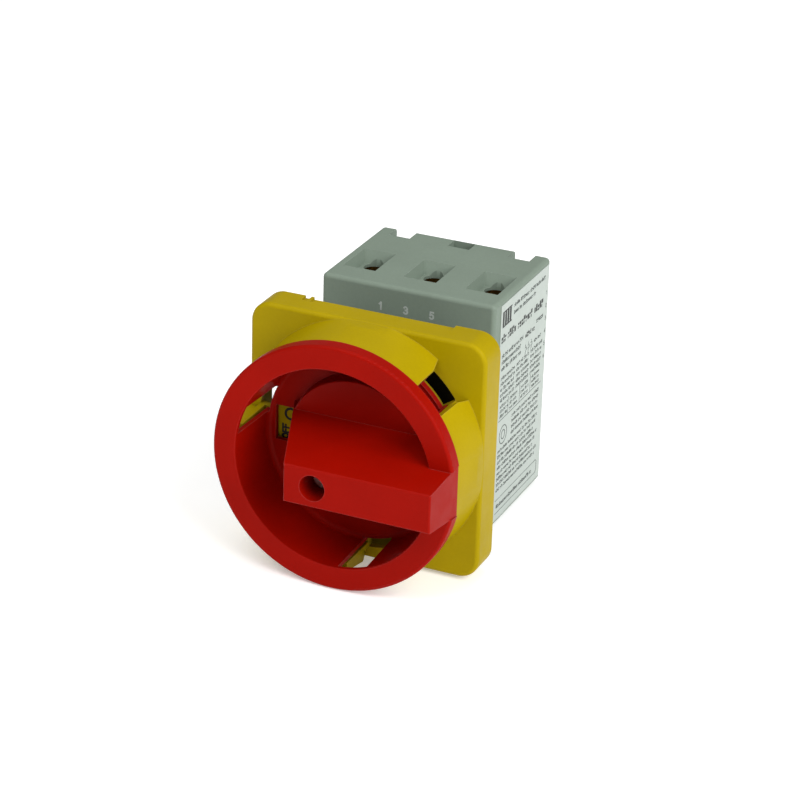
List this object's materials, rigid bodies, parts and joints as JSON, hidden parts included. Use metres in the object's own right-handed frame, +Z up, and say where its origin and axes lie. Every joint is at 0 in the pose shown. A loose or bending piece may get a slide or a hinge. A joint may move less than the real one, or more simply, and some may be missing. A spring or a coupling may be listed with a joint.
{
  "type": "rotary isolator switch",
  "caption": "Rotary isolator switch: red padlockable dish handle on a yellow square plate with a slotted collar, panel bush and latch, and a grey contact block with screw clamps.",
  "frame": {"origin": "on the shaft axis, in the plane of the panel's front face (the plate's back)", "axes": "+X right and +Z up as seen from the front, +Y into the panel; the handle faces -Y"},
  "size_m": [0.0648, 0.0927, 0.0654],
  "materials": {
    "yellow_plastic": "satin moulded",
    "red_plastic": "satin moulded",
    "grey_plastic": "fine matt moulded",
    "black_plastic": "matt moulded",
    "white_plastic": "satin moulded",
    "rubber": "matt",
    "zinc_steel": "zinc plated",
    "spring_steel": "bright drawn",
    "copper": "bright copper",
    "silver": "silver alloy",
    "brass": "yellow passivated",
    "label_paper": "satin film"
  },
  "bodies": {
    "base": {"front_plate": "yellow_plastic", "panel_gasket": "rubber", "mounting_nut": "zinc_steel", "shaft_seal": "rubber", "latch_housing": "black_plastic", "stop_plate": "zinc_steel", "latch_cover": "black_plastic", "latch_spring_left": "spring_steel", "latch_spring_right": "spring_steel", "contact_housing": "grey_plastic", "rear_cover": "grey_plastic", "assembly_screws": "zinc_steel", "terminal_screws": "zinc_steel", "fixed_tips": "silver", "rating_label": "label_paper", "fixed_contact_1": "copper", "fixed_contact_2": "copper", "fixed_contact_3": "copper", "fixed_contact_4": "copper", "fixed_contact_5": "copper", "fixed_contact_6": "copper", "wire_clamp_1": "brass", "wire_clamp_2": "brass", "wire_clamp_3": "brass", "wire_clamp_4": "brass", "wire_clamp_5": "brass", "wire_clamp_6": "brass"},
    "rotor": {"handle": "red_plastic", "handle_screw": "zinc_steel", "drive_shaft": "zinc_steel", "latch_cam": "white_plastic", "drive_cam": "white_plastic"},
    "carriage": {"contact_carrier": "black_plastic", "follower_pin": "zinc_steel", "bridge_tips": "silver", "contact_bridge_1": "copper", "contact_bridge_2": "copper", "contact_bridge_3": "copper", "contact_spring_1": "spring_steel", "contact_spring_2": "spring_steel", "contact_spring_3": "spring_steel"}
  },
  "joints": [
    {"name": "handle_turn", "type": "hinge", "parent": "base", "child": "rotor", "pos_m": [0, 0, 0], "axis": [0, 1, 0], "range_deg": [0, 90], "deforming": ["latch_spring_left", "latch_spring_right"]},
    {"name": "carriage_slide", "type": "slide", "parent": "base", "child": "carriage", "axis": [0, 1, 0], "range_m": [-0.0036, 0]}
  ],
  "couplings": [
    {"joint": "carriage_slide", "follows": "handle_turn", "m_per_rad": -0.00226}
  ]
}
